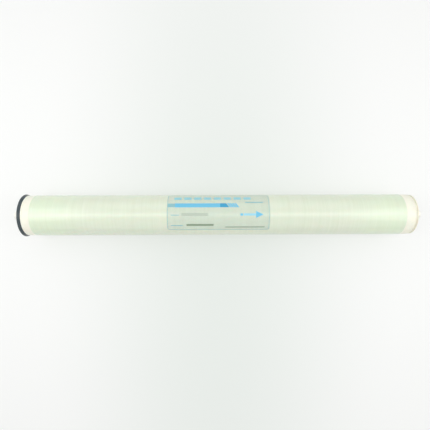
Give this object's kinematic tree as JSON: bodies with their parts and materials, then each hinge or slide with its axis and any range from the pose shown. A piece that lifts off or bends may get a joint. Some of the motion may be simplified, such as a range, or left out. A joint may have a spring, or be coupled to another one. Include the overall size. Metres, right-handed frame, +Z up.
{
  "type": "reverse osmosis membrane element",
  "caption": "Spiral-wound reverse osmosis element: glass-fibre shell, spoked end caps, brine seal on the feed end and a product water tube that stands out of both ends.",
  "frame": {"origin": "on the element's axis, half way between the two ends of the product water tube", "axes": "+X along the axis towards the concentrate end, so the brine seal is at -X; +Z up, through the middle line of the label as it lies"},
  "size_m": [1.016, 0.1052, 0.1052],
  "materials": {
    "fibreglass": "glass roving and epoxy, translucent pale green",
    "cap_plastic": "moulded ABS, cream",
    "seal_rubber": "moulded EPDM, blue-black",
    "label_film": "clear polyester film",
    "tube_plastic": "extruded ABS, off-white",
    "wrap_tape": "polypropylene tape",
    "membrane": "coated polyester membrane sheet with feed spacer netting"
  },
  "bodies": {
    "root": {"shell": "fibreglass", "feed_end_cap": "cap_plastic", "concentrate_end_cap": "cap_plastic", "brine_seal": "seal_rubber", "label": "label_film", "core_tube": "tube_plastic", "tape_wrap": "wrap_tape", "membrane_leaf_1": "membrane", "membrane_leaf_2": "membrane", "membrane_leaf_3": "membrane", "membrane_leaf_4": "membrane"}
  },
  "joints": []
}
